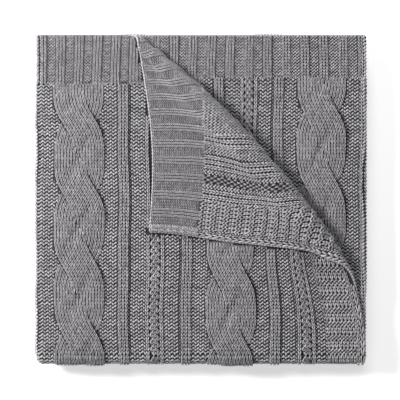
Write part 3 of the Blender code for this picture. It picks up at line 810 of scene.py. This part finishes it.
def knit_squares(found, row=ROW, side=1, sides=SIDES, detail=(4, 7)):
    """Yarn for these squares, standing on the relief."""
    u, s, width, is_knit, kind = found
    if side > 0:
        h = YARN_AT + relief(u, s) * shown(u, s)
    else:
        beyond = corner_frame(TOP_EDGE_X - u - pull(u, s), TOP_END_Y - s)[1]
        h = YARN_AT + back_relief(u, s) * smooth(beyond, *CREST_FADE)
    yes = is_knit if side > 0 else ~is_knit
    no = ~yes
    dense = (s < band_lines(u)[1]) | (kind == WELT)
    flatter = FOLD_FLATTENS * smooth((s - S_FRONT) / FOLD_ARC, 0, FLATTENED_BY)
    depth = np.where(dense, BAND_DEPTH, 1) * (1 - flatter)
    thick = np.select([dense, kind == MOSS], [BAND_THICK, MOSS_THICK], 1.0)
    leg_thick = np.where(kind == WELT, WELT_LEG_THICK, 1.0)
    legs = knit(u[yes], s[yes], h[yes], width[yes], row, side, detail[0], sides, leg_thick[yes])
    waves = purl(u[no], s[no], h[no], width[no], row, side, detail[1], sides, depth[no], thick[no])
    return legs, waves


TOP_BAND, UNDER_BAND = (length for _, _, length in BANDS.values())
TOP_ROWS = round((S_FRONT - TOP_BAND) / ROW)
LAST_TOP_ROW = TOP_BAND + TOP_ROWS * ROW
FOLD_ROW = ROW * FOLD_RADIUS / (TOP_AT + STRIP_GAP / 2)
FOLD_MIDDLE = S_FRONT + FOLD_ARC / 2
top_legs, top_waves = knit_squares(squares(body, TOP_BAND + ROW / 2, LAST_TOP_ROW, ROW, top_seen))
front_legs, front_waves = knit_squares(
    squares(np.hstack([body, border]), LAST_TOP_ROW + FOLD_ROW / 2, FOLD_MIDDLE, FOLD_ROW, top_seen), FOLD_ROW
)
under_legs, under_waves = knit_squares(squares(body, UNDER_BAND + ROW / 2, S_FRONT, ROW, under_seen))
WELTS_START = (round(TOP_BAND / WELT_ROW) + 0.5) * WELT_ROW
welt_legs, welt_waves = knit_squares(squares(border, WELTS_START, S_FRONT, WELT_ROW, top_seen), WELT_ROW)
band_squares = [
    squares(band, BAND_START, TOP_BAND, BAND_ROW, top_seen),
    squares(band, BAND_START, UNDER_BAND, BAND_ROW, under_seen),
]
band_legs, band_waves = zip(*(knit_squares(found, BAND_ROW) for found in band_squares))
pieces = [
    join("knit_ribs", top_legs + under_legs + welt_legs + front_legs),
    join("purl_panels", top_waves + under_waves + welt_waves + front_waves),
    join("end_band", [s for group in band_legs + band_waves for s in group]),
]

# %% [markdown]
# ## Cable stitches
#
# A cable's stitches are knit stitches too, but they follow their strand: each wale keeps its place in the
# strand while the strand swings, and the strand in front hides the one behind. Modelled ropes with painted
# stitches would lose the V of each leg. So the legs are drawn along the strand's curve, and a leg is left
# out where the other strand lies higher.

# %% Knit the cables
STRAND_WALES = 10
CABLE_WALE = 3.9 * MM
CREASE = 1.2 * MM
CREASE_FADE = 0.8 * MM
HIDES_BY = 0.2
SHOWS_BESIDE = 0.6
UNDER_CABLE_END = 0.8 * S_FRONT


def cable_stitches(cables, first, last, seen, row=ROW):
    """Legs of every cable stitch that shows."""
    rows = np.arange(first, last, row)
    t = np.linspace(0, 1, 4)
    found = []
    wales = np.arange(STRAND_WALES) - (STRAND_WALES - 1) / 2
    for which in (0, 1):
        grid = np.meshgrid(cables, wales, rows, (-1, 1), indexing="ij")
        cable, wale, s, way = (a.ravel()[:, None] for a in grid)
        middle = FIRST_CABLE + cable * REPEAT
        place = wale * CABLE_WALE
        swing, half = strand(which, cable, s)[:2]
        at = swing + place * half / STRAND_HALF
        own, other = strand_height(which, cable, at, s), strand_height(1 - which, cable, at, s)
        beside = (swing / STRAND_SWING) ** 2
        hides = (HIDES_BY - SHOWS_BESIDE * beside) * MM
        keep = ((own > other + hides) & seen(middle + at, s))[:, 0]
        sunk = CREASE * np.exp(-np.clip(own - other, 0, None) / CREASE_FADE) * (other > 0)
        cable, middle, place, s, way, sunk = (a[keep] for a in (cable, middle, place, s, way, sunk))
        size = uneven(len(s), 0.14)
        along = s + row * (0.66 - 1.32 * t) + row * LUCK.uniform(-0.1, 0.1, s.shape)
        swing, half, lift, high = strand(which, cable, along)
        across = (place + way * CABLE_WALE * (0.1 + 0.22 * t) * size) * half / STRAND_HALF
        dome = high * np.sqrt(np.clip(1 - (across / half) ** 2, 0.02, 1))
        u = middle + swing + across
        dome = dome + lift - valley(cable, swing + across, along)
        h = YARN_AT + dome * cable_rise(u, along) * shown(u, along)
        dh = leg_rise(t) + LUCK.uniform(-0.1, 0.1, s.shape) * MM
        girth = 0.55 + 0.45 * np.sin(math.pi * (0.05 + 0.9 * t))
        path = np.stack([u, along, h + dh - sunk], axis=-1)
        found.append(sweep(path, 0.148 * CABLE_WALE * girth * size, YARN_HALF * girth))
    return found


cables = cable_stitches((0, 1), TOP_BAND + ROW / 2, LAST_TOP_ROW, top_seen)
cables += cable_stitches((0, 1), LAST_TOP_ROW + FOLD_ROW / 2, FOLD_MIDDLE, top_seen, FOLD_ROW)
cables += cable_stitches((4, 5), UNDER_BAND + ROW / 2, UNDER_CABLE_END, under_seen)
pieces.append(join("cables", cables))

# %% [markdown]
# ## The turned corner's yarn
#
# The corner shows the knit's wrong side: the ribs are hollows there, the band's valleys stand up, the welts
# change places, and a cable's back is plain close purl. It could be a mirrored copy of the front, but then
# the columns would not meet at the fold. So it is knitted from the same chart with side=-1, which swaps knit
# and purl and stands the yarn on the cloth's other face. The band is close there, so its rows are short.

# %% Knit the turned corner
CORNER_END = 330 * MM
FINE_ROW = 2.2 * MM
CABLE_BACK_WALES = np.arange(-8, 9)
corner_body = squares(body[:, body[2] != NOTCH], TOP_BAND + ROW / 2, CORNER_END, ROW, corner_seen)
corner_border = squares(border, WELTS_START, CORNER_END, WELT_ROW, corner_seen)
corner_band = squares(band, BAND_START, TOP_BAND, FINE_ROW, corner_seen)
cable_back = np.array([(FIRST_CABLE + wale * CABLE_WALE, CABLE_WALE, KNIT) for wale in CABLE_BACK_WALES]).T
corner_cable = squares(cable_back, TOP_BAND + ROW / 2, CORNER_END, ROW, corner_seen)
corner_parts = ((corner_body, ROW), (corner_border, WELT_ROW), (corner_cable, ROW))
corner = [part for found, row in corner_parts for part in knit_squares(found, row, side=-1)]
corner += knit_squares(corner_band, FINE_ROW, side=-1, detail=(3, 5))
pieces.append(join("turned_corner", [s for group in corner for s in group]))

# %% [markdown]
# ## Edges
#
# A knitter slips the first stitch of every row, which makes the selvedge a chain of long stitches, and casts
# off along the end, which makes another. A bevel on the cloth's edge would stay too smooth for either. Both
# wrap the edge, so a thick yarn with a swelling for each stitch is laid right on it, and the chain's own legs
# on top.


# %% Chain the edges
CHAIN = 9 * MM
CHAIN_COLUMNS = ((2.4 * MM, 6.4 * MM, CHAIN), (7.2 * MM, 4.4 * MM, ROW))
CAST_OFF = 5 * MM
EDGE_WIDE = 1.6 * MM
EDGE_HIGH = 1.8 * MM
EDGE_OUT = 0.2 * MM


def edge_yarn(u, s, out, pitch):
    """A lumpy yarn along an edge: out is the (u, s) step away from the cloth."""
    length = np.concatenate([[0], np.cumsum(np.hypot(np.diff(u), np.diff(s)))])
    at = np.arange(0, length[-1], pitch / 4)
    u, s = np.interp(at, length, u), np.interp(at, length, s)
    lump = 0.5 + 0.5 * np.abs(np.sin(math.pi * at / pitch))
    path = np.stack([u + out[0], s + out[1], 0 * u], axis=-1)[None]
    return sweep(path, EDGE_WIDE * lump, EDGE_HIGH * lump, 1, 6)


whole = np.array([0, THROW_WIDTH])
full = np.array([0, THROW_LENGTH])
edges = [
    edge_yarn(0 * full, full, (-EDGE_OUT, 0), CHAIN / 2),
    edge_yarn(0 * full + THROW_WIDTH, full, (EDGE_OUT, 0), CHAIN / 2),
    edge_yarn(whole, 0 * whole, (0, -EDGE_OUT), CAST_OFF),
    edge_yarn(whole, 0 * whole + THROW_LENGTH, (0, EDGE_OUT), CAST_OFF),
]
for seen, side in ((top_seen, 1), (corner_seen, -1)):
    for u, width, pitch in CHAIN_COLUMNS:
        chain = np.arange(pitch / 2, FOLD_MIDDLE, pitch)
        found = chain[seen(0 * chain + u, chain)]
        height = YARN_AT + (SELVEDGE_HEIGHT if side > 0 else 0)
        edges += knit(0 * found + u, found, height, width, pitch, side, 6)
pieces.append(join("edges", edges))

# %% [markdown]
# ## The folds' stitches
#
# From the side the stack shows its folds: eight along the left and right, three across the front and back.
# A bump in the yarn's material could stand for their stitches, but the outline would stay smooth. So they
# are the same chart again, carried round the bend, with fewer points each because they are small and seen
# less.

# %% Knit round the folds
FOLD_CLEAR = 1 * MM
FOLD_CABLE_WALE = 4.6 * MM
FOLD_CABLE_WALES = range(-6, 7)


def side_fold_seen(u, s):
    """True on the outside of the left and right folds."""
    left = (u > U_TOP_END) & (u < U_BASE - FOLD_CLEAR)
    right = (u > U_BASE_END + FOLD_CLEAR) & (u < U_UNDER)
    return left | right


def end_fold_seen(u, s):
    """True on the outside of the front and back folds."""
    front = (u < U_TOP_END) & (((s > S_FRONT) & (s < S_SECOND)) | ((s > S_LOWER_FRONT) & (s < S_FOURTH)))
    back = (u > U_BASE) & (u < U_BASE_END) & (s > S_BACK) & (s < S_THIRD)
    return front | back


cable_wales = [
    (FIRST_CABLE + cable * REPEAT + wale * FOLD_CABLE_WALE, FOLD_CABLE_WALE, KNIT)
    for cable in range(CABLES)
    for wale in FOLD_CABLE_WALES
]
all_columns = np.array(sorted([tuple(c) for c in np.hstack([body, border]).T] + cable_wales)).T
coarse = {"sides": 4, "detail": (3, 5)}
side_folds = squares(all_columns, TOP_BAND + ROW / 2, THROW_LENGTH - ROW, ROW, side_fold_seen)
side_bands = squares(band, BAND_START, TOP_BAND, ROW, side_fold_seen)
end_folds = squares(all_columns, FOLD_MIDDLE, S_FOURTH, FOLD_ROW, end_fold_seen)
fold_rows = ((side_folds, ROW), (side_bands, ROW), (end_folds, FOLD_ROW))
fold_yarn = [knit_squares(found, row, **coarse) for found, row in fold_rows]
pieces.append(join("fold_stitches", [s for pair in fold_yarn for group in pair for s in group]))

# %% [markdown]
# ## Heathered yarn
#
# The yarn is spun from light and dark grey wool, so its colour is never quite even: patches a few
# millimetres long, specks of single fibres, and stitches a little lighter or darker than their neighbours.
# Noise at two sizes gives the first two, and a value for each loose island of the mesh gives the third. Wool
# is matt, but its loose fibres glow at the edges, which is what sheen is for. A picture of wool would do as
# well from afar, but it would need a flat map of every stitch.

# %% Yarn material
YARN_DARK = (0.15, 0.142, 0.155, 1)
YARN_MID = (0.34, 0.328, 0.346, 1)
YARN_LIGHT = (0.6, 0.585, 0.607, 1)
DARK_AT, MID_AT, LIGHT_AT = 0.28, 0.52, 0.78
# painted shade: the ground cloth between and behind the stitches gets this share of the yarn's colour, so the
# holes look darker than their real shade alone makes them
GROUND_PAINTED_SHADE = 0.06
WOOL = {"Roughness": 0.88, "Specular IOR Level": 0.25, "Sheen Weight": 0.25, "Sheen Roughness": 0.5}
PATCHES = {"Scale": 420, "Detail": 4, "Roughness": 0.65}
FIBRES = {"Scale": 1500, "Detail": 3}
FIBRES_SHARE = 0.55
PATCHES_SHARE = 0.45
STITCH_RANGE = 0.18
FUZZ = 0.4
FUZZ_HEIGHT = 0.5 * MM


def yarn_material(name, per_stitch, share=1):
    """Heathered wool: share darkens it all over as painted shade, per_stitch gives every island of yarn its
    own random tone.
    """
    material = bpy.data.materials.new(name)
    material.use_nodes = True
    nodes, links = material.node_tree.nodes, material.node_tree.links
    shader = nodes["Principled BSDF"]
    for socket, value in WOOL.items():
        shader.inputs[socket].default_value = value
    place = nodes.new("ShaderNodeTexCoord")
    patches = nodes.new("ShaderNodeTexNoise")
    for socket, value in PATCHES.items():
        patches.inputs[socket].default_value = value
    fibres = nodes.new("ShaderNodeTexNoise")
    for socket, value in FIBRES.items():
        fibres.inputs[socket].default_value = value
    mixed = nodes.new("ShaderNodeMath")
    mixed.operation = "MULTIPLY_ADD"
    mixed.inputs[1].default_value = FIBRES_SHARE
    ramp = nodes.new("ShaderNodeValToRGB")
    ramp.color_ramp.elements[0].position = DARK_AT
    ramp.color_ramp.elements[0].color = [c * share for c in YARN_DARK]
    ramp.color_ramp.elements[1].position = LIGHT_AT
    ramp.color_ramp.elements[1].color = [c * share for c in YARN_LIGHT]
    middle = ramp.color_ramp.elements.new(MID_AT)
    middle.color = [c * share for c in YARN_MID]
    bump = nodes.new("ShaderNodeBump")
    bump.inputs["Strength"].default_value = FUZZ
    bump.inputs["Distance"].default_value = FUZZ_HEIGHT
    halves = nodes.new("ShaderNodeMath")
    halves.operation = "MULTIPLY_ADD"
    halves.inputs[1].default_value = PATCHES_SHARE
    for texture in (patches, fibres):
        links.new(place.outputs["Object"], texture.inputs["Vector"])
    links.new(fibres.outputs["Fac"], mixed.inputs[0])
    links.new(patches.outputs["Fac"], halves.inputs[0])
    links.new(halves.outputs["Value"], mixed.inputs[2])
    if per_stitch:
        islands = nodes.new("ShaderNodeNewGeometry")
        own = nodes.new("ShaderNodeMath")
        own.operation = "MULTIPLY_ADD"
        own.inputs[1].default_value = STITCH_RANGE
        own.inputs[2].default_value = -STITCH_RANGE / 2
        links.new(islands.outputs["Random Per Island"], own.inputs[0])
        links.new(own.outputs["Value"], halves.inputs[2])
    else:
        halves.inputs[2].default_value = 0.0
    links.new(mixed.outputs["Value"], ramp.inputs["Fac"])
    links.new(ramp.outputs["Color"], shader.inputs["Base Color"])
    links.new(fibres.outputs["Fac"], bump.inputs["Height"])
    links.new(bump.outputs["Normal"], shader.inputs["Normal"])
    return material


yarn = yarn_material("heathered_yarn", True)
# painted shade: the ground cloth's yarn is darkened so that the holes between the stitches look shaded
ground_painted_shade_yarn = yarn_material("heathered_ground_painted_shade", False, GROUND_PAINTED_SHADE)
ground.data.materials.append(ground_painted_shade_yarn)
for piece in pieces:
    piece.data.materials.append(yarn)

# %% [markdown]
# ## One body for the pieces
#
# The ground cloth stands for the solid throw, and everything rides on its one body, the yarn with it. The
# throw from the model is hidden.

for piece in (ground, *pieces):
    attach(piece, "root")
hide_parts("throw")

# %% [markdown]
# ## Floor, light and camera
#
# The throw is seen from straight above on white. A soft key lamp high at the left gives each stitch a light
# side and a dark one and leaves a narrow shadow at the right. A weaker lamp beyond the back leaves the soft
# shadow below the front edge. A dim white world fills the rest. One sky picture could light it too, but two
# lamps are easier to move and read. The camera is far away with a long lens, so that the stack's sides stay
# hidden, as they would from a copy stand.

# %% Floor
FLOOR = 6.0
FLOOR_CORNERS = ((-FLOOR, -FLOOR), (FLOOR, -FLOOR), (FLOOR, FLOOR), (-FLOOR, FLOOR))
FLOOR_Z = -0.5 * MM
floor_mesh = bpy.data.meshes.new("floor")
floor_mesh.from_pydata([(x, y, FLOOR_Z) for x, y in FLOOR_CORNERS], [], [(0, 1, 2, 3)])
floor = bpy.data.objects.new("floor", floor_mesh)
bpy.context.scene.collection.objects.link(floor)
paper = bpy.data.materials.new("paper")
paper.use_nodes = True
paper_shader = paper.node_tree.nodes["Principled BSDF"]
paper_shader.inputs["Base Color"].default_value = (0.93, 0.93, 0.93, 1)
paper_shader.inputs["Roughness"].default_value = 0.9
paper_shader.inputs["Emission Color"].default_value = (1, 1, 1, 1)
paper_shader.inputs["Emission Strength"].default_value = 0.5
floor_mesh.materials.append(paper)


# %% Light
STACK_MIDDLE = (0, 0, 0.03)


def aim(item, place):
    """Puts a lamp at place, shining on the middle of the stack."""
    item.location = place
    away = np.array(STACK_MIDDLE) - np.array(place)
    tilt = math.atan2(math.hypot(away[0], away[1]), -away[2])
    item.rotation_euler = (tilt, 0, math.atan2(-away[0], away[1]))
    bpy.context.scene.collection.objects.link(item)


LAMPS = (
    # (name, size in m, energy, place)
    ("key", 0.5, 50, (-1.15, 0.42, 1.3)),
    ("top", 0.6, 17, (0.1, 1.5, 1.2)),
)
for name, size, energy, place in LAMPS:
    lamp = bpy.data.lights.new(name, "AREA")
    lamp.size = size
    lamp.energy = energy
    aim(bpy.data.objects.new(name, lamp), place)

world = bpy.data.worlds.new("studio")
world.use_nodes = True
backdrop = world.node_tree.nodes["Background"]
backdrop.inputs["Color"].default_value = (1, 1, 1, 1)
backdrop.inputs["Strength"].default_value = 0.2
bpy.context.scene.world = world
bpy.context.scene.view_settings.view_transform = "Standard"

# %% Camera
FRAME_WIDTH = 0.506
FRAME_MIDDLE = (-1.26 * MM, 0.63 * MM)
TOP_FACE = 0.054
camera = bpy.data.cameras.new("camera")
camera.lens = 200
camera.sensor_width = 36
distance = FRAME_WIDTH * camera.lens / camera.sensor_width
eye = bpy.data.objects.new("camera", camera)
eye.location = (*FRAME_MIDDLE, TOP_FACE + distance)
bpy.context.scene.collection.objects.link(eye)
bpy.context.scene.camera = eye
